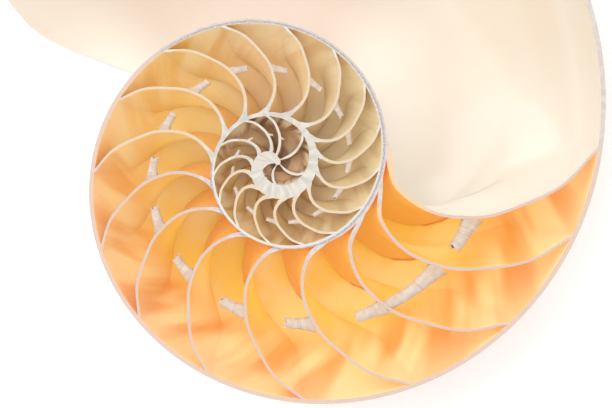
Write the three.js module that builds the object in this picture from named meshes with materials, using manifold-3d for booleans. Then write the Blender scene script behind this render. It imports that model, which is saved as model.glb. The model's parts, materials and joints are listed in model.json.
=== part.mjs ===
// One half of a chambered nautilus shell, sawn along its middle plane.
// It lies on its rounded flank with the sawn face up. Millimetres, +Z up.
//
// The shell is worked out about the axis that it coils round, with the sawn face at z = 0.
// A turn is an unwound angle in degrees: it grows towards the mouth, and 0 lies along +X.
// Along a ray from the axis, "across" runs from the back of the whorl (0) to its keel (1),
// and "down" runs from the sawn face (0) round the flank to the navel (1).
import * as THREE from 'three';
import { mergeVertices } from 'three/addons/utils/BufferGeometryUtils.js';
import Module from 'manifold-3d';

const wasm = await Module();
wasm.setup();

// Keel radius at each quarter turn, from the first chamber out to past the mouth
const firstStation = -990;
const keelRadii = [2.8, 4.25, 6.25, 8.75, 12.5, 17, 22.25, 27.25, 35.5, 46.5, 59.5, 81, 107, 137];

// Half section of a whorl in shares of the keel radius: out from the axis, down from the saw cut
const flankOut = track([
  [0, 1], [0.12, 0.985], [0.25, 0.93], [0.4, 0.81], [0.55, 0.66], [0.7, 0.49], [0.85, 0.31], [1, 0.155],
]);
const flankDown = track([
  [0, 0], [0.12, 0.09], [0.25, 0.185], [0.4, 0.282], [0.55, 0.346], [0.7, 0.372], [0.85, 0.36], [1, 0.328],
]);

// Wall of the tube at the keel and on the flank, and the back of the whorl as a share of the keel
// radius. The back follows the flank of the whorl before it for backReach of the way down.
const wallThickness = track([
  [-900, 0.9], [-720, 1.7], [-630, 1.7], [-540, 2.1], [-450, 2.1], [-330, 1.3], [-200, 1.3], [150, 1.5],
]);
const flankThickness = track([[-900, 0.2], [-720, 0.5], [-450, 1], [-200, 1.2], [150, 1.4]]);
const backShare = track([[-480, 0.42], [-400, 0.395], [-300, 0.355]]);
const backReach = 0.8;

// The deepest point of each partition, counted back from the living chamber
const septumTurns = [
  -17.5, -34.2, -54.7, -78.7, -103.7, -128.3, -151.7, -174.2, -197.3, -221.7,
  -245, -268.3, -293.3, -316.7, -338.3, -360, -383.3, -407.5, -430.8, -452.5,
  -475.8, -501.7, -526.7, -550, -577.5, -613.3, -638.3, -692, -762, -834,
];
const innermostSeptum = -895;

// Degrees that a partition's rim lies ahead of its deepest point: on the saw cut, and down the flank
const cutRim = track([
  [0, 13.5], [0.02, 10.5], [0.07, 6.3], [0.16, 2.1], [0.27, 0], [0.37, 0],
  [0.56, 3], [0.69, 7.1], [0.87, 13], [0.975, 18.8], [1, 20],
]);
const flankRim = track([
  [0.155, 3], [0.3, 0], [0.45, -1], [0.55, 0], [0.62, 5], [0.7, 13], [0.8, 19], [0.9, 20], [1, 20],
]);
const backRimAtCut = 13.5;
const backRimAtNavel = 1;
const bowlAtNavel = 0.4;
const lobeDepth = track([[-165, 0], [-60, 5], [-34, 7.5]]);
const lobeShape = track([[0.25, 0], [0.4, 1], [0.55, 1], [0.75, 0]]);

// Partition thickness: a base and a share of the keel radius
const septumBase = 0.55;
const septumShare = 0.006;
const widestHalfAngle = 6;

// The mouth's edge, as the turn that it reaches at each share of the keel radius
const mouthEdge = track([
  [0, 92], [0.06, 108], [0.12, 132], [0.2, 144], [0.34, 147], [0.45, 150],
  [0.57, 151.4], [0.65, 149.3], [0.75, 145.5], [0.86, 138.5], [0.95, 130], [1, 125],
]);
const mouthTurn = 150;
const mouthBlendFrom = 60;
const beyondMouth = 172;

// The callus that plugs the navel outside: how far down it reaches, also against the flank of the
// small early whorls, and its radius as a base and a share of the keel radius
const callusDepth = 20;
const callusOverFlank = 1.6;
const callusBase = 4.1;
const callusShare = 0.097;

// The siphuncle, the tube that ran through every partition: its place across the whorl, its
// radius as a share of the keel's, and how many of its radii it lies below the saw cut
const siphuncleAcross = 0.5;
const siphuncleShare = 0.024;
const siphuncleDepth = 1.05;

// Each neck is flared where it leaves its partition and breaks off, but one tube is whole
const stubTurn = 12.5;
const wholeTubeSeptum = 1;
const wholeTubeTurn = 22;
const flaredNeck = [[0, 1.7], [0.3, 1.1], [1, 0.95]];
const plainNeck = [[0, 1.6], [0.4, 1], [1, 0.95]];
const brokenBore = [[0.6, 0.5], [1.05, 0.58]];
const smallTubesFrom = -280;
const tubelessSepta = 3;

// The way down when the shell lies at rest on its flank, and how deep its resting spots are worn
const restDown = new THREE.Vector3(0.1661, -0.0726, -0.9834).normalize();
const wornDepth = 0.45;

// The saw takes a little off the middle plane, and the hollows run on above it
const kerf = 0.02;
const aboveSaw = 3;
const slabWidth = 600;
const slabDepth = 60;
const up = new THREE.Vector3(0, 0, 1);

// How finely the solids are stepped: along and across the outside, and through the hollows
const wholeStep = 10;
const outsideShares = [0, 0.05, 0.1, 0.16, 0.27, 0.42, 0.57, 0.7, 0.81, 0.9, 0.96, 0.99, 1];
const chamberStep = 14;
const chamberGrid = { across: [0, 0.09, 0.28, 0.55, 0.8, 1], down: [-1, 0, 0.22, 0.45, 0.7, 1] };
const firstChamberGrid = { across: [0, 0.28, 0.62, 1], down: [-1, 0, 0.4, 1] };
const firstChambersFrom = -780;
const mouthGrid = { across: [-0.15, 0.02, 0.1, 0.28, 0.55, 0.8, 1], down: chamberGrid.down };
const slopeStep = 0.02;
const leastFacing = 0.4;
const halvings = 30;
const weld = 1e-4;
const colour = { nacre: 0xf1e2cf };

// A smooth line through pairs of [place, value] that stays level past both ends
function track(pairs) {
  const last = pairs.length - 1;
  const slope = (i) => {
    const [before, after] = [pairs[Math.max(i - 1, 0)], pairs[Math.min(i + 1, last)]];
    return (after[1] - before[1]) / (after[0] - before[0]);
  };
  return (place) => {
    if (place <= pairs[0][0]) return pairs[0][1];
    if (place >= pairs[last][0]) return pairs[last][1];
    const i = pairs.findIndex(([start]) => start > place) - 1;
    const [[x0, y0], [x1, y1]] = [pairs[i], pairs[i + 1]];
    const width = x1 - x0;
    const t = (place - x0) / width;
    const rise = t * t * (3 - 2 * t);
    const leave = t * (1 - t) * (1 - t) * slope(i) * width;
    const arrive = t * t * (1 - t) * slope(i + 1) * width;
    return y0 + (y1 - y0) * rise + leave - arrive;
  };
}

const lerp = THREE.MathUtils.lerp;
const ease = THREE.MathUtils.smoothstep;
const logKeel = track(keelRadii.map((radius, i) => [firstStation + 90 * i, Math.log(radius)]));
const keel = (turn) => Math.exp(logKeel(turn));

function place(turn, out, down) {
  const angle = THREE.MathUtils.degToRad(turn);
  return new THREE.Vector3(out * Math.cos(angle), out * Math.sin(angle), -down);
}

const flank = (down) => new THREE.Vector2(flankOut(down), flankDown(down));

// Inner face of the tube's wall, in millimetres out and down
function innerWall(turn, down) {
  const [low, high] = [Math.max(down - slopeStep, 0), Math.min(down + slopeStep, 1)];
  const along = flank(high).sub(flank(low)).normalize();
  const inward = down === 0 ? new THREE.Vector2(-1, 0) : new THREE.Vector2(-along.y, along.x);
  return flank(down)
    .multiplyScalar(keel(turn))
    .add(inward.multiply(new THREE.Vector2(wallThickness(turn), flankThickness(turn))));
}

// Back of the whorl, which is the keel side of the whorl before it
function backWall(turn, down) {
  return flank(down * backReach).multiplyScalar(keel(turn) * backShare(turn));
}

function insidePoint(turn, across, down) {
  const { x, y } = backWall(turn, down).lerp(innerWall(turn, down), across);
  return place(turn, x, y);
}

// Degrees that a partition lies ahead of its deepest point
function septumLead(turn, across, down) {
  const share = flankOut(down);
  const flank = flankRim(share) - lobeDepth(turn) * lobeShape(share);
  const rim = lerp(lerp(backRimAtCut, backRimAtNavel, ease(down, 0, 1)), flank, across);
  const bowl = cutRim(across) - lerp(backRimAtCut, cutRim(1), across);
  return rim + bowl * lerp(1, bowlAtNavel, ease(down, 0, 1));
}

function septumPoint(turn, across, down) {
  return insidePoint(turn + septumLead(turn, across, down), across, down);
}

// Half the angle that a partition's thickness takes up, wider where it leans
function septumHalfAngle(turn, across, down) {
  const here = septumPoint(turn, across, down);
  const alongAcross = septumPoint(turn, Math.min(across + slopeStep, 1), down)
    .sub(septumPoint(turn, Math.max(across - slopeStep, 0), down));
  const alongDown = septumPoint(turn, across, Math.min(down + slopeStep, 1))
    .sub(septumPoint(turn, across, Math.max(down - slopeStep, 0)));
  const facing = alongAcross.cross(alongDown).normalize();
  const out = Math.hypot(here.x, here.y);
  const square = Math.max(Math.abs(facing.y * here.x - facing.x * here.y) / out, leastFacing);
  const half = (septumBase + septumShare * keel(turn)) / 2;
  return Math.min(THREE.MathUtils.radToDeg(half / square / out), widestHalfAngle);
}

// The turn of a partition's front face (side 1) or back face (side -1)
function septumFace(turn, side, across, down) {
  return turn + septumLead(turn, across, down) + side * septumHalfAngle(turn, across, down);
}

// A closed block whose corners are worked out from three lists of steps
function block(alongSteps, acrossSteps, downSteps, cornerAt) {
  const lists = [alongSteps, acrossSteps, downSteps];
  const geometry = new THREE.BoxGeometry(1, 1, 1, ...lists.map((list) => list.length - 1));
  const corners = geometry.attributes.position;
  const pick = (list, share) => list[Math.round((share + 0.5) * (list.length - 1))];
  for (let i = 0; i < corners.count; i++) {
    const [along, across, down] = [corners.getX(i), corners.getY(i), corners.getZ(i)]
      .map((share, axis) => pick(lists[axis], share));
    corners.setXYZ(i, ...cornerAt(along, across, down).toArray());
  }
  turnDiagonals(geometry);
  return toSolid(geometry);
}

// Turns the diagonals of a block's front face to match its rear face, so that the two
// faces of a partition bend alike
function turnDiagonals(geometry) {
  const index = geometry.index.array;
  const { start, count } = geometry.groups[0];
  for (let i = start; i < start + count; i += 6) {
    const [a, b, d, , c] = index.slice(i, i + 6);
    index.set([a, b, c, a, c, d], i);
  }
}

// Joins shared corners and drops faces that have shrunk to a line
function toSolid(geometry) {
  geometry.deleteAttribute('normal');
  geometry.deleteAttribute('uv');
  const welded = mergeVertices(geometry, weld);
  const index = Array.from(welded.index.array);
  const triangles = [];
  for (let i = 0; i < index.length; i += 3) {
    const face = index.slice(i, i + 3);
    if (new Set(face).size === 3) triangles.push(...face);
  }
  return new wasm.Manifold(new wasm.Mesh({
    numProp: 3,
    vertProperties: new Float32Array(welded.attributes.position.array),
    triVerts: new Uint32Array(triangles),
  }));
}

function steps(from, to, count) {
  return Array.from({ length: count + 1 }, (_, i) => lerp(from, to, i / count));
}

// How far down the flank a share of the keel radius is met, found by halving
function downAt(share) {
  let [low, high] = [0, 1];
  for (let i = 0; i < halvings; i++) {
    const middle = (low + high) / 2;
    if (flankOut(middle) > share) low = middle;
    else high = middle;
  }
  return high;
}

function outsideDepth(turn, share) {
  const radius = keel(turn);
  const side = flankDown(downAt(share)) * radius;
  const callusRadius = callusBase + callusShare * radius;
  const callus = Math.min(callusDepth, side * callusOverFlank);
  return lerp(callus, side, ease(share * radius, 0, callusRadius));
}

// A stretch of whorl, filled right in to the axis. Past the blend it runs out to the mouth's edge.
function filledWhorl(from, to) {
  const turns = Array.from({ length: (to - from) / wholeStep + 1 }, (_, i) => from + i * wholeStep);
  return block(turns, outsideShares, [0, 1], (turn, share, down) => {
    const pull = Math.max(0, (turn - mouthBlendFrom) / (mouthTurn - mouthBlendFrom));
    const there = turn + pull * (mouthEdge(share) - mouthTurn);
    return place(there, share * keel(there), down === 0 ? -aboveSaw : outsideDepth(there, share));
  });
}

// The hollow between two partitions, or between the last one and the air beyond the mouth
function hollow(rear, front, grid) {
  const reach = (front ?? beyondMouth) - rear;
  const along = steps(0, 1, Math.ceil(reach / chamberStep));
  return block(along, grid.across, grid.down, (share, across, down) => {
    const depth = Math.max(down, 0);
    const from = septumFace(rear, 1, across, depth);
    const to = front === null ? beyondMouth : septumFace(front, -1, across, depth);
    const corner = insidePoint(lerp(from, to, share), across, depth);
    if (down < 0) corner.z = aboveSaw;
    return corner;
  });
}

// A tube that runs back from a partition beside the saw cut. Its radius follows a list of
// [share of its length, share of the siphuncle's radius].
function siphuncleTube(septum, length, outline, sides) {
  const geometry = new THREE.CylinderGeometry(1, 1, 1, sides, outline.length - 1);
  const corners = geometry.attributes.position;
  const start = septum + septumLead(septum, siphuncleAcross, 0);
  for (let i = 0; i < corners.count; i++) {
    const [share, wide] = outline[Math.round((0.5 - corners.getY(i)) * (outline.length - 1))];
    const turn = start - length * share;
    const radius = siphuncleShare * keel(turn);
    const centre = insidePoint(turn, siphuncleAcross, 0);
    const out = Math.hypot(centre.x, centre.y) - wide * radius * corners.getX(i);
    const down = radius * (siphuncleDepth + wide * corners.getZ(i));
    corners.setXYZ(i, ...place(turn, out, down).toArray());
  }
  return toSolid(geometry);
}

function addSiphuncle(shell, septum, i) {
  const isSmall = septum < smallTubesFrom;
  const isWhole = i === wholeTubeSeptum;
  const length = isWhole ? wholeTubeTurn : stubTurn;
  const tube = siphuncleTube(septum, length, isSmall ? plainNeck : flaredNeck, isSmall ? 5 : 7);
  const whole = shell.add(tube);
  if (isSmall || isWhole) return whole;
  return whole.subtract(siphuncleTube(septum, length, brokenBore, 5));
}

// Takes away all that lies past a plane, given by the way that it faces and its distance
function cutPast(solid, facing, distance) {
  const slab = new THREE.BoxGeometry(slabWidth, slabWidth, slabDepth);
  slab.translate(0, 0, slabDepth / 2 + distance);
  slab.applyQuaternion(new THREE.Quaternion().setFromUnitVectors(up, facing));
  return solid.subtract(toSolid(slab));
}

function lowestReach(solid) {
  const { vertProperties } = solid.getMesh();
  const corner = new THREE.Vector3();
  let reach = 0;
  for (let i = 0; i < vertProperties.length; i += 3) {
    reach = Math.max(reach, corner.fromArray(vertProperties, i).dot(restDown));
  }
  return reach;
}

function buildShell() {
  const earlier = filledWhorl(-410, -170);
  let shell = filledWhorl(-410, -180)
    .add(filledWhorl(-230, -40))
    .add(filledWhorl(-60, mouthTurn))
    .subtract(hollow(septumTurns[0], null, mouthGrid).subtract(earlier));
  septumTurns.forEach((front, i) => {
    const rear = septumTurns[i + 1] ?? innermostSeptum;
    const grid = front > firstChambersFrom ? chamberGrid : firstChamberGrid;
    shell = shell.subtract(hollow(rear, front, grid));
  });
  septumTurns.slice(0, -tubelessSepta).forEach((septum, i) => {
    shell = addSiphuncle(shell, septum, i);
  });
  shell = cutPast(shell, up, -kerf);
  return cutPast(shell, restDown, lowestReach(shell) - wornDepth);
}

function toGeometry(solid) {
  const { vertProperties, triVerts } = solid.getMesh();
  const geometry = new THREE.BufferGeometry();
  geometry.setAttribute('position', new THREE.BufferAttribute(vertProperties, 3));
  geometry.setIndex(new THREE.BufferAttribute(triVerts, 1));
  geometry.computeVertexNormals();
  return geometry;
}

const shellHalf = new THREE.Mesh(
  toGeometry(buildShell()),
  new THREE.MeshStandardMaterial({ color: colour.nacre, roughness: 0.4, metalness: 0 }),
);
shellHalf.name = 'shell_half';
shellHalf.quaternion.setFromUnitVectors(restDown, up.clone().negate());

// The lowest middle point of the shell's box is the origin
const box = new THREE.Box3().setFromObject(shellHalf, true);
const middle = box.getCenter(new THREE.Vector3());
shellHalf.position.set(-middle.x, -middle.y, -box.min.z);

const group = new THREE.Group();
group.add(shellHalf);
export default group;
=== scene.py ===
# Half of a chambered nautilus shell, sawn along its middle plane and lying on its rounded flank
import json
import math

import bpy
from mathutils import Matrix, Vector


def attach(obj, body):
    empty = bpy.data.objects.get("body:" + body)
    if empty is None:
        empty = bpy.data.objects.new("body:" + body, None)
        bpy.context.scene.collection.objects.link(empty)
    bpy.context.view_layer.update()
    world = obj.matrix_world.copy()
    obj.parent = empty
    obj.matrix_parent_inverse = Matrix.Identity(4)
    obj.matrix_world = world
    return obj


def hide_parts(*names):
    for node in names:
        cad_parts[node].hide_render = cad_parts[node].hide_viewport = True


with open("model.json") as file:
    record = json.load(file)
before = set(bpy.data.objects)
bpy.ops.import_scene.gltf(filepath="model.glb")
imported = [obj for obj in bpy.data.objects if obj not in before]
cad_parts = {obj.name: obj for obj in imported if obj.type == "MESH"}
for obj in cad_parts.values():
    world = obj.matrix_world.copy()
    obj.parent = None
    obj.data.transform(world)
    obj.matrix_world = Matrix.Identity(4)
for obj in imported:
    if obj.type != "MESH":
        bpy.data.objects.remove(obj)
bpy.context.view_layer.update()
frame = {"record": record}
print("frame loaded")

# The shell is worked out in millimetres about the axis that it coils round, with the sawn face
# at z = 0. "turn" is the unwound angle in degrees, "across" runs from the back of the whorl (0)
# to its keel (1), and "down" from the sawn face (0) round the flank to the navel (1).
coilAxisAt = Vector((0.00097095, -0.02383896, 0.03700646))    # on the sawn face, in metres
faceNormal = Vector(next(m["axis"] for m in frame["record"]["mounts"] if m["name"] == "sawn_face"))
shellTurned = Vector((0, 0, 1)).rotation_difference(faceNormal).to_matrix().to_4x4()
shellPlaced = Matrix.Translation(coilAxisAt) @ shellTurned @ Matrix.Scale(0.001, 4)

camera = {
    "lookAt": Vector((7.25, -10.375, 0)),      # middle of the picture, on the sawn face
    "away": 701,
    "lens": 165,
    "sensor": 36,
    "clip": (0.05, 10),                        # metres
}


def makeCamera():
    data = bpy.data.cameras.new("camera")
    data.lens = camera["lens"]
    data.sensor_width = camera["sensor"]
    data.clip_start, data.clip_end = camera["clip"]
    made = bpy.data.objects.new("camera", data)
    bpy.context.scene.collection.objects.link(made)
    stand = shellPlaced @ (camera["lookAt"] + Vector((0, 0, camera["away"])))
    made.matrix_world = Matrix.Translation(stand) @ shellTurned
    bpy.context.scene.camera = made


# Numbers that nodes work out


def give(tree, socket, value):
    if isinstance(value, Field):
        tree.links.new(value.socket, socket)
    else:
        socket.default_value = value


def maths(tree, operation, *values):
    node = tree.nodes.new("ShaderNodeMath")
    node.operation = operation
    for socket, value in zip(node.inputs, values):
        give(tree, socket, value)
    return Field(tree, node.outputs[0])


class Field:                                   # a value in a node tree that sums can be written with
    def __init__(self, tree, socket):
        self.tree = tree
        self.socket = socket

    def __add__(self, other):
        return maths(self.tree, "ADD", self, other)

    def __radd__(self, other):
        return maths(self.tree, "ADD", other, self)

    def __sub__(self, other):
        return maths(self.tree, "SUBTRACT", self, other)

    def __rsub__(self, other):
        return maths(self.tree, "SUBTRACT", other, self)

    def __mul__(self, other):
        return maths(self.tree, "MULTIPLY", self, other)

    def __rmul__(self, other):
        return maths(self.tree, "MULTIPLY", other, self)

    def __truediv__(self, other):
        return maths(self.tree, "DIVIDE", self, other)

    def least(self, other):
        return maths(self.tree, "MINIMUM", self, other)

    def most(self, other):
        return maths(self.tree, "MAXIMUM", self, other)

    def of(self, operation):
        return maths(self.tree, operation, self)

    def ease(self, low, high, start=0.0, end=1.0):
        node = self.tree.nodes.new("ShaderNodeMapRange")
        node.interpolation_type = "SMOOTHSTEP"
        for socket, value in zip(node.inputs, (self, low, high, start, end)):
            give(self.tree, socket, value)
        return Field(self.tree, node.outputs[0])

    # A Float Curve that takes a line's shape, over a track's own reach or from 0 to 1
    def follow(self, line, samples=160):
        start, end = getattr(line, "ends", (0, 1))
        values = [line(start + (end - start) * i / samples) for i in range(samples + 1)]
        low = min(values)
        reach = (max(values) - low) or 1.0
        node = self.tree.nodes.new("ShaderNodeFloatCurve")
        points = node.mapping.curves[0].points
        points[0].location = (0, (values[0] - low) / reach)
        points[-1].location = (1, (values[-1] - low) / reach)
        for i in range(1, samples):
            points.new(i / samples, (values[i] - low) / reach)
        for point in points:
            point.handle_type = "VECTOR"
        node.mapping.update()
        give(self.tree, node.inputs["Value"], ((self - start) / (end - start)).most(0).least(1))
        return Field(self.tree, node.outputs[0]) * reach + low


def blend(low, high, share):
    return low + (high - low) * share


def vectorMaths(tree, operation, *values):
    node = tree.nodes.new("ShaderNodeVectorMath")
    node.operation = operation
    for socket, value in zip(node.inputs, values):
        give(tree, socket, value)
    return Field(tree, node.outputs["Value" if operation in ("LENGTH", "DOT_PRODUCT") else "Vector"])


def joinXyz(tree, x, y, z):
    node = tree.nodes.new("ShaderNodeCombineXYZ")
    for socket, value in zip(node.inputs, (x, y, z)):
        give(tree, socket, value)
    return Field(tree, node.outputs[0])


def splitXyz(tree, vector):
    node = tree.nodes.new("ShaderNodeSeparateXYZ")
    give(tree, node.inputs[0], vector)
    return [Field(tree, socket) for socket in node.outputs]


def named(tree, name, kind="FLOAT_VECTOR"):
    node = tree.nodes.new("GeometryNodeInputNamedAttribute")
    node.data_type = kind
    node.inputs["Name"].default_value = name
    return Field(tree, node.outputs["Attribute"])


def position(tree):
    return Field(tree, tree.nodes.new("GeometryNodeInputPosition").outputs[0])


def grain(tree, vector, scale, detail=3.0, roughness=0.5):
    node = tree.nodes.new("ShaderNodeTexNoise")
    give(tree, node.inputs["Vector"], vector)
    node.inputs["Scale"].default_value = scale
    node.inputs["Detail"].default_value = detail
    node.inputs["Roughness"].default_value = roughness
    return Field(tree, node.outputs[0])


def makeGroup(name, inputs, outputs, build):
    tree = bpy.data.node_groups.new(name, "GeometryNodeTree")
    kinds = {"number": "NodeSocketFloat", "vector": "NodeSocketVector", "shape": "NodeSocketGeometry"}
    for label, kind in outputs.items():
        tree.interface.new_socket(label, in_out="OUTPUT", socket_type=kinds[kind])
    for label, kind in inputs.items():
        tree.interface.new_socket(label, in_out="INPUT", socket_type=kinds[kind])
    source = tree.nodes.new("NodeGroupInput")
    sink = tree.nodes.new("NodeGroupOutput")
    results = build(tree, *[Field(tree, socket) for socket in source.outputs[:len(inputs)]])
    for socket, result in zip(sink.inputs, results):
        give(tree, socket, result)
    return tree


def use(tree, group, *values):
    node = tree.nodes.new("GeometryNodeGroup")
    node.node_tree = group
    for socket, value in zip(node.inputs, values):
        give(tree, socket, value)
    return [Field(tree, socket) for socket in node.outputs]


# The rule of the shell


def track(*pairs):                             # a smooth line that stays level past both ends
    last = len(pairs) - 1

    def slope(i):
        before = pairs[max(i - 1, 0)]
        after = pairs[min(i + 1, last)]
        return (after[1] - before[1]) / (after[0] - before[0])

    def line(place):
        if place <= pairs[0][0]:
            return pairs[0][1]
        if place >= pairs[last][0]:
            return pairs[last][1]
        i = next(n for n, pair in enumerate(pairs) if pair[0] > place) - 1
        (x0, y0), (x1, y1) = pairs[i], pairs[i + 1]
        width = x1 - x0
        t = (place - x0) / width
        rise = t * t * (3 - 2 * t)
        leave = t * (1 - t) * (1 - t) * slope(i) * width
        arrive = t * t * (1 - t) * slope(i + 1) * width
        return y0 + (y1 - y0) * rise + leave - arrive

    line.ends = (pairs[0][0], pairs[last][0])
    return line


whorl = {
    "firstTurn": -990,                         # the keel's radii stand a quarter turn apart from here
    "trim": 0.998,                             # keeps the smoother curve inside the part's box
    "keelRadii": [2.8, 4.25, 6.25, 8.75, 12.5, 17, 22.25, 27.25, 35.5, 46.5, 59.5, 81, 107, 137],
    "flankOut": track((0, 1), (0.12, 0.985), (0.25, 0.93), (0.4, 0.81), (0.55, 0.66), (0.7, 0.49),
                      (0.85, 0.31), (1, 0.155)),
    "flankDown": track((0, 0), (0.12, 0.09), (0.25, 0.185), (0.4, 0.282), (0.55, 0.346), (0.7, 0.372),
                       (0.85, 0.36), (1, 0.328)),
    "wall": track((-900, 0.6), (-720, 0.9), (-630, 1.1), (-540, 1.5), (-450, 1.7), (-330, 1.25),
                  (-200, 1.05), (-60, 1.1), (150, 1.5)),
    "flankWall": track((-900, 0.2), (-720, 0.5), (-450, 1), (-200, 1.2), (150, 1.4)),
    "backShare": track((-700, 0.1), (-640, 0.12), (-613, 0.19), (-577, 0.29), (-550, 0.34), (-500, 0.4),
                       (-450, 0.41), (-400, 0.395), (-300, 0.355), (-55, 0.357), (-30, 0.35), (-5, 0.338),
                       (20, 0.33)),
    "backReach": 0.8,
    "lipThin": 0.5,                            # wall left at the mouth's edge
    "lipBack": 16,                             # degrees over which it thins
}

mouth = {
    "edge": track((0, 92), (0.06, 108), (0.12, 132), (0.2, 144), (0.34, 147), (0.45, 150), (0.57, 151.4),
                  (0.65, 149.3), (0.75, 145.5), (0.86, 138.5), (0.95, 130), (1, 125)),
    "turn": 150,
    "blendFrom": 60,
    "beyond": 172,
}

callus = {"depth": 20, "overFlank": 1.6, "base": 4.1, "share": 0.097, "edge": 0.155}

septa = {
    "turns": [
        -17.5, -34.2, -54.7, -78.7, -103.7, -128.3, -151.7, -174.2, -197.3, -221.7,
        -245, -268.3, -293.3, -316.7, -338.3, -360, -383.3, -407.5, -430.8, -452.5,
        -475.8, -501.7, -526.7, -550, -577.5, -613.3, -638.3, -692, -762, -834,
    ],
    "innermost": -895,
    "outerFrom": -200,                         # chambers from here on have a finer grid
    "cutRim": track((0, 13.5), (0.02, 10.5), (0.07, 6.3), (0.16, 2.1), (0.27, 0), (0.37, 0), (0.56, 3),
                    (0.69, 7.1), (0.87, 13), (0.975, 18.8), (1, 20)),
    "flankRim": track((0.155, 3), (0.3, 0), (0.45, -1), (0.55, 0), (0.62, 5), (0.7, 13), (0.8, 19),
                      (0.9, 20), (1, 20)),
    "backRimAtCut": 13.5,
    "backRimAtNavel": 1,
    "bowlAtNavel": 0.4,
    "lobeDepth": track((-165, 0), (-60, 2.6), (-34, 4.6)),
    "lobeShape": track((0.25, 0), (0.4, 1), (0.55, 1), (0.75, 0)),
    "longRun": track((-150, 0), (-80, 4), (-54, 7.5), (-34, 9), (-17, 9.5)),  # extra lead of the back rim
    "runEnds": 0.09,
    "runDown": 0.6,
    "flare": track((-230, 0.8), (-120, 0.1)),  # thicker where a partition meets the whorl before it
    "flareEnds": 0.1,
    "leastSquare": 0.25,                       # how far it may lean before its width stops growing
    "widest": 6,                               # degrees to either side
    "base": 0.68,                              # thickness, and a share of the keel radius
    "share": 0.0012,
    "thinOut": 14,                             # degrees that the first one's front runs on
    "thinOutEnds": 0.05,
    "thinOutDown": 0.5,
}

slopeStep = 0.02
keelLogs = [math.log(radius * whorl["trim"]) for radius in whorl["keelRadii"]]
logKeel = track(*[(whorl["firstTurn"] + 90 * i, value) for i, value in enumerate(keelLogs)])


def inward(down):                              # which way the wall's thickness goes
    if down <= 0:
        return (-1.0, 0.0)
    low = max(down - slopeStep, 0)
    high = min(down + slopeStep, 1)
    along = Vector((whorl["flankOut"](high) - whorl["flankOut"](low),
                    whorl["flankDown"](high) - whorl["flankDown"](low))).normalized()
    return (-along.y, along.x)


def keelNodes(turn):
    return turn.follow(logKeel, 250).of("EXPONENT")


def nearBack(across, reach):                   # 1 at the back of the whorl, gone within the reach
    return across.follow(lambda a: max(1 - a / reach, 0) ** 2, 250)


def placeNodes(tree, turn, out, depth):
    angle = turn.of("RADIANS")
    return joinXyz(tree, out * angle.of("COSINE"), out * angle.of("SINE"), depth * -1)


def buildInsidePoint(tree, turn, across, down):
    keel = keelNodes(turn)
    lip = down.follow(lambda d: mouth["edge"](whorl["flankOut"](d)))
    thin = (lip - turn).ease(0, whorl["lipBack"], whorl["lipThin"], 1)
    wall = turn.follow(whorl["wall"]) * thin
    flankWall = turn.follow(whorl["flankWall"]) * thin
    wallOut = down.follow(whorl["flankOut"]) * keel + down.follow(lambda d: inward(d)[0]) * wall
    wallDepth = down.follow(whorl["flankDown"]) * keel + down.follow(lambda d: inward(d)[1]) * flankWall
    back = keel * turn.follow(whorl["backShare"], 240)
    backOut = down.follow(lambda d: whorl["flankOut"](d * whorl["backReach"])) * back
    backDepth = down.follow(lambda d: whorl["flankDown"](d * whorl["backReach"])) * back
    out = blend(backOut, wallOut, across)
    depth = blend(backDepth, wallDepth, across)
    return placeNodes(tree, turn, out, depth), out


def buildSeptumLead(tree, turn, across, down):
    flankRim = down.follow(lambda d: septa["flankRim"](whorl["flankOut"](d)))
    lobe = down.follow(lambda d: septa["lobeShape"](whorl["flankOut"](d)))
    rim = flankRim - turn.follow(septa["lobeDepth"]) * lobe
    backRim = down.ease(0, 1, septa["backRimAtCut"], septa["backRimAtNavel"])
    cutRim = septa["cutRim"]
    bowl = across.follow(lambda a: cutRim(a) - blend(septa["backRimAtCut"], cutRim(1), a), 250)
    atCut = 1 - down.ease(0, septa["runDown"])
    longRun = turn.follow(septa["longRun"]) * nearBack(across, septa["runEnds"]) * atCut
    return [blend(backRim, rim, across) + bowl * down.ease(0, 1, 1, septa["bowlAtNavel"]) + longRun]


threeNumbers = {"Turn": "number", "Across": "number", "Down": "number"}
insidePoint = makeGroup("Inside point", threeNumbers, {"Point": "vector", "Out": "number"}, buildInsidePoint)
septumLead = makeGroup("Septum lead", threeNumbers, {"Lead": "number"}, buildSeptumLead)


def septumPointNodes(tree, turn, across, down):
    lead = use(tree, septumLead, turn, across, down)[0]
    return use(tree, insidePoint, turn + lead, across, down)


septumPoint = makeGroup("Septum point", threeNumbers, {"Point": "vector", "Out": "number"}, septumPointNodes)


def buildSeptumFace(tree, turn, side, across, down, base, share):
    here, out = use(tree, septumPoint, turn, across, down)
    ahead = use(tree, septumPoint, turn, (across + slopeStep).least(1), down)[0]
    behind = use(tree, septumPoint, turn, (across - slopeStep).most(0), down)[0]
    below = use(tree, septumPoint, turn, across, (down + slopeStep).least(1))[0]
    above = use(tree, septumPoint, turn, across, (down - slopeStep).most(0))[0]
    alongAcross = vectorMaths(tree, "SUBTRACT", ahead, behind)
    alongDown = vectorMaths(tree, "SUBTRACT", below, above)
    facing = vectorMaths(tree, "NORMALIZE", vectorMaths(tree, "CROSS_PRODUCT", alongAcross, alongDown))
    faceX, faceY, faceZ = splitXyz(tree, facing)
    x, y, z = splitXyz(tree, here)
    square = ((faceY * x - faceX * y) / out).of("ABSOLUTE").most(septa["leastSquare"])
    flare = nearBack(across, septa["flareEnds"]) * turn.follow(septa["flare"])
    half = (base + share * keelNodes(turn)) * (flare + 1) / 2
    width = (half / square / out).of("DEGREES").least(septa["widest"])
    lead = use(tree, septumLead, turn, across, down)[0]
    return [turn + lead + side * width]


septumFace = makeGroup(
    "Septum face",
    {name: "number" for name in ("Turn", "Side", "Across", "Down", "Base", "Share")},
    {"Turn": "number"}, buildSeptumFace)


# Solids: grids of a box whose points are put in place


zones = {"outside": 0, "chamber": 1, "living": 2, "neck": 3, "sawn": 4, "rest": 5}
weldWithin = 1e-4


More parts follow.
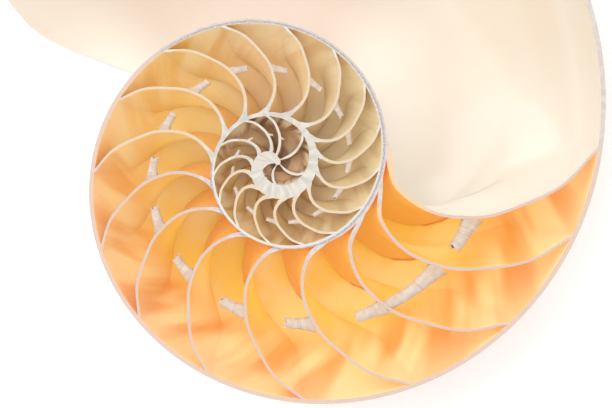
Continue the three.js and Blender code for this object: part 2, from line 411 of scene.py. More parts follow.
def gridBox(tree, along, across, down):        # keeps where each point is in the box, from 0 to 1
    node = tree.nodes.new("GeometryNodeMeshCube")
    for label, count in (("Vertices X", along), ("Vertices Y", across), ("Vertices Z", down)):
        node.inputs[label].default_value = count
    shares = vectorMaths(tree, "ADD", position(tree), (0.5, 0.5, 0.5))
    return store(tree, Field(tree, node.outputs["Mesh"]), "boxShare", shares)


def store(tree, shape, name, value, kind="FLOAT_VECTOR", domain="POINT"):
    node = tree.nodes.new("GeometryNodeStoreNamedAttribute")
    node.data_type = kind
    node.domain = domain
    node.inputs["Name"].default_value = name
    give(tree, node.inputs["Geometry"], shape)
    give(tree, node.inputs["Value"], value)
    return Field(tree, node.outputs[0])


def setPosition(tree, shape, point):
    node = tree.nodes.new("GeometryNodeSetPosition")
    give(tree, node.inputs["Geometry"], shape)
    give(tree, node.inputs["Position"], point)
    return Field(tree, node.outputs[0])


# Puts a solid's points in place and labels its faces
def finishSolid(tree, shape, point, turn, place, zone, turnOver=True):
    shape = store(tree, shape, "turn", turn, "FLOAT", "CORNER")
    shape = store(tree, shape, "place", joinXyz(tree, *place), domain="CORNER")
    shape = store(tree, shape, "zone", zones[zone], "INT", "FACE")
    shape = setPosition(tree, shape, point)
    if turnOver:
        flip = tree.nodes.new("GeometryNodeFlipFaces")
        give(tree, flip.inputs[0], shape)
        shape = Field(tree, flip.outputs[0])
    node = tree.nodes.new("GeometryNodeMergeByDistance")
    give(tree, node.inputs["Geometry"], shape)
    node.inputs["Distance"].default_value = weldWithin
    return Field(tree, node.outputs[0])


def joinSolids(tree, operation, first, *others):
    node = tree.nodes.new("GeometryNodeMeshBoolean")
    node.operation = operation
    node.solver = "MANIFOLD"
    if operation == "UNION":
        tree.links.new(first.socket, node.inputs["Mesh 2"])
    else:
        tree.links.new(first.socket, node.inputs["Mesh 1"])
    for other in others:
        tree.links.new(other.socket, node.inputs["Mesh 2"])
    return Field(tree, node.outputs["Mesh"])


outline = {
    "stretches": [(-410, -180), (-230, -40), (-60, mouth["turn"])],        # each overlaps the next
    "underMouth": (-410, -170),                # what the living chamber leaves standing
    "navel": 0.2,                              # share of the points that go to the callus
    "aboveSaw": 3,
    "step": 2,                                 # degrees
    "acrossCount": 34,
}


def outlineDown(v):
    return 1 - (v - outline["navel"]) / (1 - outline["navel"])


def outlineShare(v):
    if v < outline["navel"]:
        return callus["edge"] * v / outline["navel"]
    return whorl["flankOut"](outlineDown(v))


def outlineSide(v):
    return whorl["flankDown"](min(outlineDown(v), 1))


def filledWhorl(tree, start, end):
    count = round((end - start) / outline["step"]) + 1
    shape = gridBox(tree, count, outline["acrossCount"], 2)
    along, v, top = splitXyz(tree, named(tree, "boxShare"))
    turn = along * (end - start) + start
    share = v.follow(outlineShare, 200)
    pull = ((turn - mouth["blendFrom"]) / (mouth["turn"] - mouth["blendFrom"])).most(0)
    there = turn + pull * (share.follow(mouth["edge"], 200) - mouth["turn"])
    keel = keelNodes(there)
    side = v.follow(outlineSide, 200) * keel
    plug = (side * callus["overFlank"]).least(callus["depth"])
    depth = blend(plug, side, (share * keel).ease(0, keel * callus["share"] + callus["base"]))
    depth = blend(depth, -outline["aboveSaw"], top)
    point = placeNodes(tree, there, share * keel, depth)
    return finishSolid(tree, shape, point, there, (0.5, share, v), "outside")


grids = {                                      # points along each side of a hollow
    "outer": (8, 34, 30),
    "inner": (6, 24, 15),
    "mouth": (80, 28, 22),
}
hollows = {
    "crowding": 0.5,                           # how far a chamber's points gather towards its sides
    "mouthFrom": -0.15,                        # the living chamber reaches past the back of its whorl
    "rounding": 0.1,                           # share of its length that bends in at the first partition
    "roundedBy": 0.12,
    "roundedDown": (0.1, 0.5),
}


def downNodes(z, count):                       # the last layer stands above the saw's cut
    layer = (1 - z) * (count - 1)
    down = ((layer - 1) / (count - 2)).most(0)
    above = maths(z.tree, "LESS_THAN", layer, 0.5)
    return down, above


def raiseNodes(tree, point, above):
    x, y, z = splitXyz(tree, point)
    return joinXyz(tree, x, y, blend(z, outline["aboveSaw"], above))


def realized(tree, shape):
    node = tree.nodes.new("GeometryNodeRealizeInstances")
    give(tree, node.inputs[0], shape)
    return Field(tree, node.outputs[0])


def oneAtEach(tree, stations, shape):
    node = tree.nodes.new("GeometryNodeInstanceOnPoints")
    give(tree, node.inputs["Points"], stations)
    give(tree, node.inputs["Instance"], shape)
    return realized(tree, Field(tree, node.outputs[0]))


def chambers(tree, stations, grid, base, share):      # one hollow behind each partition
    shape = oneAtEach(tree, stations, gridBox(tree, *grid))
    along, across, z = splitXyz(tree, named(tree, "boxShare"))
    across = blend(across, across.ease(0, 1), hollows["crowding"])
    down, above = downNodes(z, grid[2])
    rear = named(tree, "rear", "FLOAT")
    front = named(tree, "front", "FLOAT")
    start = use(tree, septumFace, rear, 1, across, down, base, share)[0]
    end = use(tree, septumFace, front, -1, across, down, base, share)[0]
    turn = blend(start, end, along)
    point = raiseNodes(tree, use(tree, insidePoint, turn, across, down)[0], above)
    return finishSolid(tree, shape, point, turn, (along, across, down), "chamber")


def livingChamber(tree, base, share):
    shape = gridBox(tree, *grids["mouth"])
    along, across, z = splitXyz(tree, named(tree, "boxShare"))
    across = across * (1 - hollows["mouthFrom"]) + hollows["mouthFrom"]
    down, above = downNodes(z, grids["mouth"][2])
    corner = (1 - along / hollows["rounding"]).most(0) * down.ease(*hollows["roundedDown"])
    across = across * (1 - corner * corner * hollows["roundedBy"])
    start = use(tree, septumFace, septa["turns"][0], 1, across, down, base, share)[0]
    thinOut = nearBack(across, septa["thinOutEnds"]) * septa["thinOut"]
    start = start + thinOut * (1 - down.ease(0, septa["thinOutDown"]))
    turn = blend(start, mouth["beyond"], along)
    point = raiseNodes(tree, use(tree, insidePoint, turn, across, down)[0], above)
    return finishSolid(tree, shape, point, turn, (along, across, down), "living")


siphuncle = {
    "wholeAt": 1,                              # the partition whose neck reaches back to the next
    "innermostWithout": 3,                     # partitions too small for a neck
    "boredAfter": -470,                        # further in a bore would be too small to see
    "across": 0.5,
    "share": 0.024,                            # radius, as a share of the keel's
    "depth": 1.05,                             # radii below the sawn face
    "neckTurn": 12.5,
    "wholeTurn": 21,
    "outline": track((0, 1.65), (0.12, 1.35), (0.35, 1.05), (1, 0.9)),
    "highest": 1.0,                            # radii that it may stand up from its middle
    "startsAt": 0.02,
    "bore": (0.5, 1.12),                       # shares of the neck's length, past its broken end
    "boreWide": 0.6,
    "ragged": 0.42,
    "chips": 1.3,
    "lumps": 0.14,
    "lumpsRound": 0.6,
    "lumpsAlong": 5,
    "lumpScale": 1.6,
    "sides": 24,
    "rings": 12,
}


def neckTubes(tree, stations, low, high, isBore):
    node = tree.nodes.new("GeometryNodeMeshCylinder")
    node.fill_type = "TRIANGLE_FAN"
    node.inputs["Vertices"].default_value = siphuncle["sides"]
    node.inputs["Side Segments"].default_value = siphuncle["rings"]
    tube = store(tree, Field(tree, node.outputs["Mesh"]), "boxShare", position(tree))
    shape = oneAtEach(tree, stations, tube)
    x, y, z = splitXyz(tree, named(tree, "boxShare"))
    share = blend(low, high, (z + 1) / 2)
    septum = named(tree, "septum", "FLOAT")
    length = named(tree, "length", "FLOAT")
    edge = grain(tree, joinXyz(tree, x * siphuncle["chips"], y * siphuncle["chips"], septum), 1.0, 2)
    ragged = named(tree, "ragged", "FLOAT")
    reach = share * (1 - edge * ragged * share * share)
    lead = use(tree, septumLead, septum, siphuncle["across"], 0.0)[0]
    turn = septum + lead - length * reach
    around = siphuncle["lumpsRound"]
    onTube = joinXyz(tree, x * around, y * around, septum + reach * siphuncle["lumpsAlong"])
    lumps = grain(tree, onTube, siphuncle["lumpScale"], 2)
    girth = siphuncle["boreWide"] if isBore else share.follow(siphuncle["outline"])
    radius = keelNodes(turn) * siphuncle["share"]
    girth = radius * girth * ((lumps - 0.5) * siphuncle["lumps"] + 1)
    out = use(tree, insidePoint, turn, siphuncle["across"], 0.0)[1] - girth * x
    depth = radius * siphuncle["depth"] + (girth * y).most(radius * -siphuncle["highest"])
    point = placeNodes(tree, turn, out, depth)
    place = (reach, 0.0, 1.0 if isBore else 0.0)
    return finishSolid(tree, shape, point, turn, place, "neck", turnOver=False)


saw = {"kerf": 0.02, "width": 600, "depth": 60}
ground = {"width": 0.6, "depth": 0.06}         # metres, what wears the flats that the shell rests on


def slab(tree, block, height, zone):
    node = tree.nodes.new("GeometryNodeMeshCube")
    node.inputs["Size"].default_value = (block["width"], block["width"], block["depth"])
    shape = store(tree, Field(tree, node.outputs["Mesh"]), "zone", zones[zone], "INT", "FACE")
    shape = store(tree, shape, "turn", 0.0, "FLOAT", "CORNER")
    shape = store(tree, shape, "place", (0, 0, 0), domain="CORNER")
    return transform(tree, shape, Matrix.Translation((0, 0, height)))


def transform(tree, shape, matrix):
    node = tree.nodes.new("GeometryNodeTransform")
    place, turned, scale = matrix.decompose()
    give(tree, node.inputs["Geometry"], shape)
    node.inputs["Translation"].default_value = place
    node.inputs["Rotation"].default_value = turned.to_euler()
    node.inputs["Scale"].default_value = scale
    return Field(tree, node.outputs[0])


def pick(tree, shape, name):                   # the stations that carry a mark
    node = tree.nodes.new("GeometryNodeSeparateGeometry")
    node.domain = "POINT"
    give(tree, node.inputs["Geometry"], shape)
    give(tree, node.inputs["Selection"], maths(tree, "GREATER_THAN", named(tree, name, "FLOAT"), 0.5))
    return Field(tree, node.outputs["Selection"])


def buildShell(tree, stations, base, share):
    body = joinSolids(tree, "UNION", *[filledWhorl(tree, *ends) for ends in outline["stretches"]])
    stays = filledWhorl(tree, *outline["underMouth"])
    living = joinSolids(tree, "DIFFERENCE", livingChamber(tree, base, share), stays)
    shape = joinSolids(tree, "DIFFERENCE", body, living)
    for mark in ("outer", "inner"):
        hollow = chambers(tree, pick(tree, stations, mark), grids[mark], base, share)
        shape = joinSolids(tree, "DIFFERENCE", shape, hollow)
    tubes = neckTubes(tree, pick(tree, stations, "neck"), siphuncle["startsAt"], 1, False)
    shape = joinSolids(tree, "UNION", shape, tubes)
    bores = neckTubes(tree, pick(tree, stations, "bored"), *siphuncle["bore"], True)
    shape = joinSolids(tree, "DIFFERENCE", shape, bores)
    sawnOff = slab(tree, saw, saw["depth"] / 2 - saw["kerf"], "sawn")
    shape = joinSolids(tree, "DIFFERENCE", shape, sawnOff)
    shape = transform(tree, shape, shellPlaced)
    wornOff = slab(tree, ground, -ground["depth"] / 2, "rest")
    shape = joinSolids(tree, "DIFFERENCE", shape, wornOff)
    shape = realized(tree, shape)
    for zone, material in zoneMaterials.items():
        node = tree.nodes.new("GeometryNodeSetMaterial")
        give(tree, node.inputs["Geometry"], shape)
        isZone = maths(tree, "COMPARE", named(tree, "zone", "INT"), zones[zone], 0.5)
        give(tree, node.inputs["Selection"], isZone)
        node.inputs["Material"].default_value = material
        shape = Field(tree, node.outputs[0])
    return [shape]


def makeStations():                            # a point for each partition, with what stands at it
    mesh = bpy.data.meshes.new("stations")
    turns = septa["turns"]
    count = len(turns)
    mesh.vertices.add(count)
    isWhole = [i == siphuncle["wholeAt"] for i in range(count)]
    marks = {
        "front": turns,
        "rear": turns[1:] + [septa["innermost"]],
        "septum": turns,
        "length": [siphuncle["wholeTurn"] if whole else siphuncle["neckTurn"] for whole in isWhole],
        "ragged": [0 if whole else siphuncle["ragged"] for whole in isWhole],
        "outer": [turn > septa["outerFrom"] for turn in turns],
        "inner": [turn <= septa["outerFrom"] for turn in turns],
        "neck": [i < count - siphuncle["innermostWithout"] for i in range(count)],
        "bored": [turn > siphuncle["boredAfter"] and not whole for turn, whole in zip(turns, isWhole)],
    }
    for name, values in marks.items():
        mesh.attributes.new(name, "FLOAT", "POINT").data.foreach_set("value", [float(v) for v in values])
    return mesh


# Finishes


def tone(red, green, blue):                    # a colour as seen, as the light that it gives back
    parts = [part / 255 for part in (red, green, blue)]
    linear = [part / 12.92 if part < 0.04 else ((part + 0.055) / 1.055) ** 2.4 for part in parts]
    return (*linear, 1)


def newMaterial(name, finish):                 # the finish holds what is the same all over
    material = bpy.data.materials.new(name)
    material.use_nodes = True
    tree = material.node_tree
    shader = tree.nodes["Principled BSDF"]
    for label, value in finish.items():
        shader.inputs[label].default_value = value
    return material, tree, shader


def read(tree, name, output="Fac"):            # what the shell's nodes wrote on it
    node = tree.nodes.new("ShaderNodeAttribute")
    node.attribute_name = name
    return Field(tree, node.outputs[output])


def readPlace(tree):
    return splitXyz(tree, read(tree, "place", "Vector"))


def objectPlace(tree):                         # millimetres in the shell's own frame
    source = Field(tree, tree.nodes.new("ShaderNodeTexCoord").outputs["Object"])
    node = tree.nodes.new("ShaderNodeMapping")
    node.vector_type = "TEXTURE"               # takes the placing off again
    give(tree, node.inputs["Vector"], source)
    node.inputs["Location"].default_value = coilAxisAt
    node.inputs["Rotation"].default_value = shellTurned.to_euler()
    node.inputs["Scale"].default_value = (0.001, 0.001, 0.001)
    return Field(tree, node.outputs[0])


def mixTones(tree, share, first, second):
    node = tree.nodes.new("ShaderNodeMix")
    node.data_type = "RGBA"
    give(tree, node.inputs["Factor"], share)
    give(tree, node.inputs[6], first)
    give(tree, node.inputs[7], second)
    return Field(tree, node.outputs[2])


def mixPair(tree, share, pair):
    return mixTones(tree, share, tone(*pair[0]), tone(*pair[1]))


def laid(tree, colour, where, layer):          # a tone over a colour, and how much of it shows there
    rgb, strength = layer
    return mixTones(tree, where * strength, colour, tone(*rgb))


def ramp(value, stops):                        # colours at places, smoothly joined
    tree = value.tree
    start, end = stops[0][0], stops[-1][0]
    node = tree.nodes.new("ShaderNodeValToRGB")
    node.color_ramp.interpolation = "EASE"
    elements = node.color_ramp.elements
    while len(elements) < len(stops):
        elements.new(0.5)
    for element, (place, colour) in zip(elements, stops):
        element.position = (place - start) / (end - start)
        element.color = tone(*colour)
    give(tree, node.inputs[0], (value - start) / (end - start))
    return Field(tree, node.outputs["Color"])


def raised(tree, shader, height, depth):       # depth in metres
    node = tree.nodes.new("ShaderNodeBump")
    node.inputs["Strength"].default_value = 1
    node.inputs["Distance"].default_value = depth
    give(tree, node.inputs["Height"], height)
    tree.links.new(node.outputs[0], shader.inputs["Normal"])


def glowing(material, tree, shader, colour, strength):       # emission too faint to count as a lamp: painted glow on the shell, an even glow on the floor
    give(tree, shader.inputs["Emission Color"], colour)
    give(tree, shader.inputs["Emission Strength"], strength)
    material.cycles.emission_sampling = "NONE"


seen = {"from": 0.36, "to": 1.0}               # the floor's share of the keel radius, as seen from above


def seenAcross(tree, shell, turn):
    x, y, z = splitXyz(tree, shell)
    out = vectorMaths(tree, "LENGTH", joinXyz(tree, x, y, 0.0))
    return (out / keelNodes(turn) - seen["from"]) / (seen["to"] - seen["from"])


# Tones stand at turns, from the innermost chamber out. A pair is where something sets in and is full.
chamberNacre = {
    "finish": {
        "Roughness": 0.34, "Coat Weight": 0.15, "Coat Roughness": 0.25,
        "Subsurface Weight": 0.12, "Subsurface Radius": (1.0, 0.5, 0.22), "Subsurface Scale": 0.004,
    },
    # bright tones: partly the nacre's own tint, partly painted glow of light through the thin wall
    "bright": [
        (-840, (196, 150, 108)), (-620, (206, 170, 122)), (-480, (242, 210, 150)), (-330, (248, 228, 188)),
        (-262, (246, 222, 180)), (-215, (254, 236, 168)), (-120, (255, 232, 160)), (-17, (255, 234, 156)),
    ],
    "deep": [
        (-840, (120, 74, 46)), (-620, (150, 106, 70)), (-480, (216, 174, 112)), (-330, (232, 212, 174)),
        (-262, (238, 204, 152)), (-215, (248, 212, 134)), (-120, (243, 186, 102)), (-17, (245, 192, 102)),
    ],
    "front": [
        (-840, (120, 74, 46)), (-480, (204, 160, 104)), (-330, (222, 200, 160)), (-215, (238, 190, 120)),
        (-120, (234, 172, 98)), (-17, (230, 180, 94)),
    ],
    "line": [
        (-600, (120, 86, 54)), (-300, (196, 144, 94)), (-200, (236, 140, 66)), (-17, (228, 120, 50)),
    ],
    "rim": ((246, 206, 170), 0.55),            # beside the outer wall
    "pale": ((255, 240, 202), 0.5),
    # painted glow: golden patches in the inner part of the floor
    "paintedGoldGlow": ((253, 224, 88), 0.75),
    "peach": ((232, 168, 106), 0.55),
    "paintedGlow": track((-300, 0), (-215, 0.04), (-130, 0.1), (-80, 0.15), (-17, 0.18)),  # painted glow standing in for light through the wall
    "cloudGrain": (0.06, 2),
    "clouds": (0.38, 0.62),
    "streakGrain": (1.25, 2, 0.45),
    "streaks": (0.36, 0.6),                    # they slant back on the outer part
    "inner": (-0.05, 0.12),                    # shares of the floor that is seen
    "innerEnds": (0.4, 0.7),
    "outer": (0.5, 0.8),
    "arcEnds": (0.14, 0.34),
    "arcAlong": (0.3, 0.8),                    # shares of the chamber's length
    "frontAlong": (0.93, 0.995),
    "cutAlong": (0.005, 0.05),
    "cutDown": (0.05, 0.4),
    "cutTurns": (-300, -200),
    "rimSeen": (0.72, 1.0),
    "rimTurns": (-250, -180),
    "warmTurns": (-230, -120),
    "lineWide": (0.0, 0.04),
    "lineSeen": (0.3, 0.65),
    "lineAlong": (0.85, 0.95),
    "ridgeGrain": (1.0, 3),
    "dimples": (0.5, 2),
    "ridges": 0.00008,
}


def makeChamberNacre():
    nacre = chamberNacre
    material, tree, shader = newMaterial("chamberNacre", nacre["finish"])
    turn = read(tree, "turn")
    along, across, down = readPlace(tree)
    shell = objectPlace(tree)
    seenAt = seenAcross(tree, shell, turn)
    isWarm = turn.ease(*nacre["warmTurns"])
    drift = grain(tree, shell, *nacre["cloudGrain"]).ease(*nacre["clouds"])
    slant = joinXyz(tree, turn * 0.075 + seenAt * 3.2, seenAt * 1.3, 0.0)
    streaks = grain(tree, slant, *nacre["streakGrain"]).ease(*nacre["streaks"])
    outer = seenAt.ease(*nacre["outer"])
    inner = seenAt.ease(*nacre["inner"]) * (1 - seenAt.ease(*nacre["innerEnds"]))
    # share of the bright tones: painted glow in the inner part of the floor, the wall's pale stripes on the
    # outer part, random clouds
    light = inner * (drift * 0.5 + 0.5) + outer * streaks * 0.9 + drift * 0.15
    colour = mixTones(tree, light.least(1).most(0), ramp(turn, nacre["deep"]), ramp(turn, nacre["bright"]))
    nearArc = (1 - seenAt.ease(*nacre["arcEnds"])) * along.ease(*nacre["arcAlong"])
    # painted glow: golden patches in the inner part of the floor
    colour = laid(tree, colour, inner * nearArc.most(1 - drift) * isWarm, nacre["paintedGoldGlow"])
    colour = laid(tree, colour, outer * (1 - streaks) * isWarm, nacre["peach"])
    colour = laid(tree, colour, outer * streaks, nacre["pale"])
    isFront = along.ease(*nacre["frontAlong"])
    nearCut = (1 - along.ease(*nacre["cutAlong"])) * (1 - down.ease(*nacre["cutDown"]))
    nearCut = nearCut * turn.ease(*nacre["cutTurns"]) * 0.6
    front = isFront.most(nearCut) * (1 - outer * 0.6)
    colour = mixTones(tree, front, colour, ramp(turn, nacre["front"]))
    rim = seenAt.ease(*nacre["rimSeen"]) * turn.ease(*nacre["rimTurns"])
    colour = laid(tree, colour, rim, nacre["rim"])
    fromRear = along.least(1 - along)
    fromBack = across.least(1 - across)
    fromNavel = 1 - down
    corner = fromRear.most(fromBack).least(fromRear.most(fromNavel)).least(fromBack.most(fromNavel))
    line = (1 - corner.ease(*nacre["lineWide"])) * (1 - seenAt.ease(*nacre["lineSeen"]))
    line = line * along.ease(*nacre["lineAlong"]) * 0.75
    colour = mixTones(tree, line, colour, ramp(turn, nacre["line"]))
    give(tree, shader.inputs["Base Color"], colour)
    # painted glow: the chamber nacre gives off its own colour, more in the outer chambers
    glowing(material, tree, shader, colour, turn.follow(nacre["paintedGlow"]))
    ridges = grain(tree, joinXyz(tree, turn * 0.9, across * 2.0, down * 2.0), *nacre["ridgeGrain"])
    raised(tree, shader, ridges + grain(tree, shell, *nacre["dimples"]) * 0.4, nacre["ridges"])
    return material


livingNacre = {
    "finish": {"Roughness": 0.22, "Coat Weight": 0.4, "Coat Roughness": 0.12},
    "cloudGrain": (0.022, 2),
    "clouds": ((226, 211, 190), (226, 218, 203)),
    "bandGrain": (1.0, 3),
    "bands": ((230, 209, 191), 0.6),
    "paintedLightByCoil": (240, 232, 217),                   # painted light lifting the shade beside the whorl before, and behind the first partition
    "coilEnds": (0, 0.4),
    "behindEnds": (-25, 30),
    # painted light in the crease at the first partition
    "paintedCreaseLight": ((242, 236, 226), 0.6),
    "creaseEnds": (0.0, 0.035),
    "creaseSeen": (0.3, 0.6),
    "mouth": ((212, 188, 166), 0.75),
    "mouthTurns": (40, 75),
    "mouthEnds": (128, 150),
    "dimples": (0.25, 2),
    "ridges": 0.0002,
}


def makeLivingNacre():
    nacre = livingNacre
    material, tree, shader = newMaterial("livingNacre", nacre["finish"])
    shell = objectPlace(tree)
    turn = read(tree, "turn")
    along, across, down = readPlace(tree)
    seenAt = seenAcross(tree, shell, turn)
    clouds = grain(tree, shell, *nacre["cloudGrain"])
    bands = grain(tree, joinXyz(tree, turn * 0.05, across * 1.2, down * 1.2), *nacre["bandGrain"])
    colour = mixPair(tree, clouds.ease(0.35, 0.65), nacre["clouds"])
    colour = laid(tree, colour, bands.ease(0.5, 0.7), nacre["bands"])
    nearCoil = 1 - seenAt.ease(*nacre["coilEnds"])
    # painted light: paler, and glowing a little, in the crease at the first partition
    paintedCreaseLight = (1 - along.ease(*nacre["creaseEnds"])) * (1 - seenAt.ease(*nacre["creaseSeen"]))
    # painted light: paler beside the whorl before and behind the first partition, where shade falls
    pale = (1 - turn.ease(*nacre["behindEnds"])).most(nearCoil)
    colour = mixTones(tree, pale, colour, tone(*nacre["paintedLightByCoil"]))
    colour = laid(tree, colour, paintedCreaseLight, nacre["paintedCreaseLight"])
    nearMouth = turn.ease(*nacre["mouthTurns"]) * (1 - turn.ease(*nacre["mouthEnds"]))
    colour = laid(tree, colour, nearMouth, nacre["mouth"])
    give(tree, shader.inputs["Base Color"], colour)
    # painted glow: faint all over, more beside the whorl before and in the crease at the first partition
    glowing(material, tree, shader, colour, nearCoil * 0.06 + paintedCreaseLight * 0.04 + 0.01)
    raised(tree, shader, bands + grain(tree, shell, *nacre["dimples"]) * 0.3, nacre["ridges"])
    return material


sawnEdge = {
    "finish": {"Roughness": 0.62},
    "partitions": ((211, 191, 164), (203, 180, 168)),       # of the inner whorls, and of the last one
    "walls": ((196, 184, 178), (208, 198, 192)),
    "core": ((192, 186, 176), (214, 208, 197)),
    "rim": ((212, 182, 164), 0.8),             # the outer wall where nothing grew over it
    "inWall": ((216, 212, 206), 0.7),
    "film": ((138, 132, 134), 0.75),
    "speckGrain": (2.2, 3, 0.6),
    "specks": ((168, 146, 134), 0.2),
    "chalkGrain": (0.6, 3),
    "spokeGrain": (1.6, 2),
    "coreShows": 0.85,
    "foot": (236, 190, 148),
    "freeTurns": (128, 146),                   # from here on the outer wall lies past the mouth
    "filmIn": 0.75,                            # millimetres from the keel to the dark film in the wall
    "filmWide": (0.1, 0.45),
    "wallFrom": (-2.4, -2.1),
    "wallIn": 1.9,
    "rimIn": (1.3, 2.0),
    "footAt": Vector((31, -3, 0)),             # where the first partition thins out over the whorl before
    "footEnds": (8, 16),
    "pits": 0.0001,
}


def makeSawnEdge():
    edge = sawnEdge
    material, tree, shader = newMaterial("sawnEdge", edge["finish"])
    shell = objectPlace(tree)
    x, y, z = splitXyz(tree, shell)
    out = vectorMaths(tree, "LENGTH", joinXyz(tree, x, y, 0.0))
    angle = maths(tree, "ARCTAN2", y, x)
    degrees = angle.of("DEGREES")
    lines = [out - keelNodes(degrees - 360 * lap) for lap in range(3)]         # how far out from each keel
    isFree = degrees.ease(*edge["freeTurns"])
    nearest = lines[0].of("ABSOLUTE")
    film = 0.0
    inWall = 0.0
    for line, isCovered in ((lines[1], 1 - isFree), (lines[2], 1)):            # a later whorl covers these
        fromFilm = line + edge["filmIn"]
        film = ((1 - fromFilm.of("ABSOLUTE").ease(*edge["filmWide"])) * isCovered).most(film)
        inWall = ((1 - fromFilm.ease(-0.1, 0.1)) * line.ease(*edge["wallFrom"]) * isCovered).most(inWall)
        nearest = nearest.least(line.of("ABSOLUTE"))
    isOuter = lines[1].ease(0, 0.5)
    isCore = 1 - lines[2].ease(1.5, 4)
    specks = grain(tree, shell, *edge["speckGrain"])
    chalk = grain(tree, shell, *edge["chalkGrain"])
    spokes = grain(tree, joinXyz(tree, angle * 4.5, out * 0.12, 0.0), *edge["spokeGrain"])
    partitions = mixPair(tree, isOuter, edge["partitions"])
    walls = mixPair(tree, chalk.ease(0.35, 0.65), edge["walls"])
    isWall = 1 - nearest.ease(edge["wallIn"] - 0.4, edge["wallIn"] + 0.6)
    colour = mixTones(tree, isWall, partitions, walls)
    atRim = (1 - lines[0].of("ABSOLUTE").ease(*edge["rimIn"])) * (1 - y.ease(-8, 14))
    atRim = atRim.most((1 - lines[1].of("ABSOLUTE").ease(*edge["rimIn"])) * isFree)
    colour = laid(tree, colour, atRim, edge["rim"])
    colour = laid(tree, colour, inWall, edge["inWall"])
    colour = laid(tree, colour, film * specks.ease(0.3, 0.55), edge["film"])
    colour = laid(tree, colour, specks.ease(0.56, 0.72), edge["specks"])
    core = mixPair(tree, spokes.ease(0.35, 0.65), edge["core"])
    colour = mixTones(tree, isCore * edge["coreShows"], colour, core)
    fromFoot = vectorMaths(tree, "LENGTH", vectorMaths(tree, "SUBTRACT", shell, edge["footAt"]))
    pastWall = (lines[1] - y.ease(-6, 0, 1.6, 0)).ease(0.3, 0.9)
    foot = (1 - fromFoot.ease(*edge["footEnds"])) * pastWall
    colour = mixTones(tree, foot, colour, tone(*edge["foot"]))
    give(tree, shader.inputs["Base Color"], colour)
    raised(tree, shader, specks + chalk, edge["pits"])
    return material


chalkyNeck = {
    "finish": {"Roughness": 0.85},
    "chalk": ((200, 180, 162), (214, 198, 184)),
    "ringGrain": (1.0, 2),
    "rings": ((178, 152, 128), 0.45),
    "speckGrain": (0.7, 3, 0.5),
    "root": ((196, 158, 126), 0.45),
    "bore": ((150, 110, 84), 0.75),
    "ridges": 0.00012,
}


def makeChalkyNeck():
    neck = chalkyNeck
    material, tree, shader = newMaterial("chalkyNeck", neck["finish"])
    shell = objectPlace(tree)
    turn = read(tree, "turn")
    reach, unused, isBore = readPlace(tree)
    rings = grain(tree, joinXyz(tree, turn * 1.6, reach, 0.0), *neck["ringGrain"])
    specks = grain(tree, shell, *neck["speckGrain"])
    colour = mixPair(tree, specks.ease(0.25, 0.75), neck["chalk"])
    colour = laid(tree, colour, rings.ease(0.52, 0.7), neck["rings"])
    colour = laid(tree, colour, 1 - reach.ease(0, 0.35), neck["root"])
    colour = laid(tree, colour, isBore, neck["bore"])
    give(tree, shader.inputs["Base Color"], colour)
    raised(tree, shader, rings * 1.5 + specks * 0.6, neck["ridges"])
    return material


outsideLayer = {
    "finish": {"Roughness": 0.38},
    "creamGrain": (0.04, 3),
    "cream": ((208, 192, 167), (220, 208, 190)),
    "rustGrain": (0.15, 3),
    "rust": ((150, 74, 38), (196, 116, 66)),
    "plug": (224, 214, 200),
    "apart": 17,                               # degrees from stripe to stripe
    "bend": 26,
    "wanderGrain": (0.05, 3),
    "wander": 20,
    "quiverGrain": (0.14, 2),
    "quiver": 5,
    "widthGrain": (0.06, 2),
    "stripesTo": -8,
    "stripesFade": 42,
    "stripesDown": (0.28, 0.45),
    "plugEnds": (0.1, 0.22),
    "growthGrain": (1.0, 4, 0.6),
    "growthLines": 0.0005,
}


def makeOutsideLayer():
    layer = outsideLayer
    material, tree, shader = newMaterial("outsideLayer", layer["finish"])
    shell = objectPlace(tree)
    turn = read(tree, "turn")
    v = readPlace(tree)[2]
    wander = (grain(tree, shell, *layer["wanderGrain"]) - 0.5) * layer["wander"]
    quiver = (grain(tree, shell, *layer["quiverGrain"]) - 0.5) * layer["quiver"]
    bent = turn + v.ease(0.2, 1) * layer["bend"] + wander + quiver
    wave = (bent * (2 * math.pi / layer["apart"])).of("SINE")
    width = grain(tree, shell, *layer["widthGrain"]) * 1.1 - 0.55
    stripe = (wave + width).ease(0.0, 0.35)
    isEarly = 1 - turn.ease(layer["stripesTo"] - layer["stripesFade"], layer["stripesTo"])
    cream = mixPair(tree, grain(tree, shell, *layer["creamGrain"]), layer["cream"])
    rust = mixPair(tree, grain(tree, shell, *layer["rustGrain"]), layer["rust"])
    colour = mixTones(tree, stripe * v.ease(*layer["stripesDown"]) * isEarly, cream, rust)
    plug = 1 - v.ease(*layer["plugEnds"])
    colour = mixTones(tree, plug, colour, tone(*layer["plug"]))
    give(tree, shader.inputs["Base Color"], colour)
    growth = grain(tree, joinXyz(tree, turn * 1.1, v * 1.5, 0.0), *layer["growthGrain"])
    raised(tree, shader, growth * (1 - plug) + grain(tree, shell, 0.3, 2) * 0.5, layer["growthLines"])
    return material


scuffedSpot = {
    "finish": {"Roughness": 0.7},
    "scuffs": ((212, 198, 178), (226, 216, 202)),
    "drawn": (1, 0.2, 1),
    "scuffGrain": (1.2, 3),
    "depth": 0.0001,
}


def makeScuffedSpot():
    material, tree, shader = newMaterial("scuffedSpot", scuffedSpot["finish"])
    drawn = vectorMaths(tree, "MULTIPLY", objectPlace(tree), scuffedSpot["drawn"])
    scuffs = grain(tree, drawn, *scuffedSpot["scuffGrain"])
    colour = mixPair(tree, scuffs.ease(0.4, 0.6), scuffedSpot["scuffs"])
    give(tree, shader.inputs["Base Color"], colour)
    raised(tree, shader, scuffs, scuffedSpot["depth"])
    return material


zoneMaterials = {
    "outside": makeOutsideLayer(),
    "chamber": makeChamberNacre(),
    "living": makeLivingNacre(),
    "neck": makeChalkyNeck(),
    "sawn": makeSawnEdge(),
    "rest": makeScuffedSpot(),
}


sharpPast = 50                                 # degrees between faces


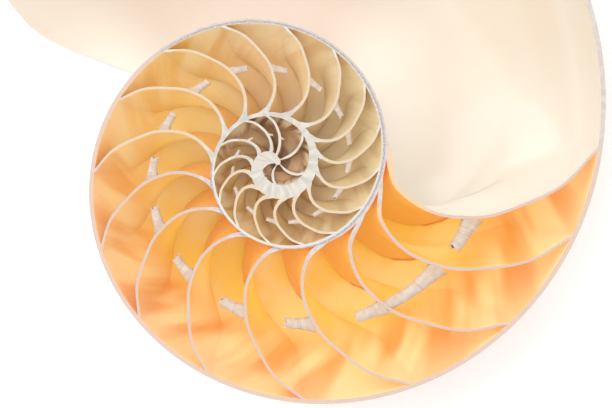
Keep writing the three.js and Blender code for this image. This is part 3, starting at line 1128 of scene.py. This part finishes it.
def makeShell():
    mesh = makeStations()
    shell = bpy.data.objects.new("shell", mesh)
    bpy.context.scene.collection.objects.link(shell)
    tree = makeGroup(
        "Nautilus shell",
        {"Stations": "shape", "Partition thickness": "number", "Partition thickening": "number"},
        {"Shell": "shape"}, buildShell)
    modifier = shell.modifiers.new("Nautilus shell", "NODES")
    modifier.node_group = tree
    sizes = {"Partition thickness": septa["base"], "Partition thickening": septa["share"]}
    for item in tree.interface.items_tree:
        if item.in_out == "INPUT" and item.name in sizes:
            modifier[item.identifier] = sizes[item.name]
    made = bpy.data.meshes.new_from_object(shell.evaluated_get(bpy.context.evaluated_depsgraph_get()))
    shell.modifiers.remove(modifier)
    made.name = "shell"
    shell.data = made
    return shell


studio = {
    "daylight": 1.1,
    "floorReach": 3,
    "floorDrop": 0.0002,                       # just clear of the flats that the shell lies on
    "floorFinish": {"Roughness": 0.8, "Base Color": tone(236, 236, 236)},
    "floorGlow": 0.24,
    "softboxAt": Vector((-0.5, 0.5, 1.1)),
    "softboxSize": 1.2,
    "softboxEnergy": 7,
}


def makeStudio():
    world = bpy.data.worlds.new("studio")
    bpy.context.scene.world = world
    world.use_nodes = True
    daylight = world.node_tree.nodes["Background"]
    daylight.inputs["Color"].default_value = (1, 1, 1, 1)
    daylight.inputs["Strength"].default_value = studio["daylight"]
    reach, level = studio["floorReach"], -studio["floorDrop"]
    mesh = bpy.data.meshes.new("floor")
    corners = [(-reach, -reach), (reach, -reach), (reach, reach), (-reach, reach)]
    mesh.from_pydata([(x, y, level) for x, y in corners], [], [(0, 1, 2, 3)])
    floor = bpy.data.objects.new("floor", mesh)
    bpy.context.scene.collection.objects.link(floor)
    material, tree, shader = newMaterial("paleFloor", studio["floorFinish"])
    glowing(material, tree, shader, tone(255, 255, 255), studio["floorGlow"])
    mesh.materials.append(material)
    light = bpy.data.lights.new("softbox", "AREA")
    light.size = studio["softboxSize"]
    light.energy = studio["softboxEnergy"]
    lamp = bpy.data.objects.new("softbox", light)
    lamp.location = studio["softboxAt"]
    lamp.rotation_mode = "QUATERNION"
    lamp.rotation_quaternion = (-studio["softboxAt"]).to_track_quat("-Z", "Y")
    bpy.context.scene.collection.objects.link(lamp)


makeCamera()
makeStudio()
bpy.context.scene.view_settings.view_transform = "Standard"
print("camera, floor and light placed")
shell = makeShell()
print("shell made:", len(shell.data.polygons), "faces")
shell.data.set_sharp_from_angle(angle=math.radians(sharpPast))
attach(shell, "root")
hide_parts("shell_half")
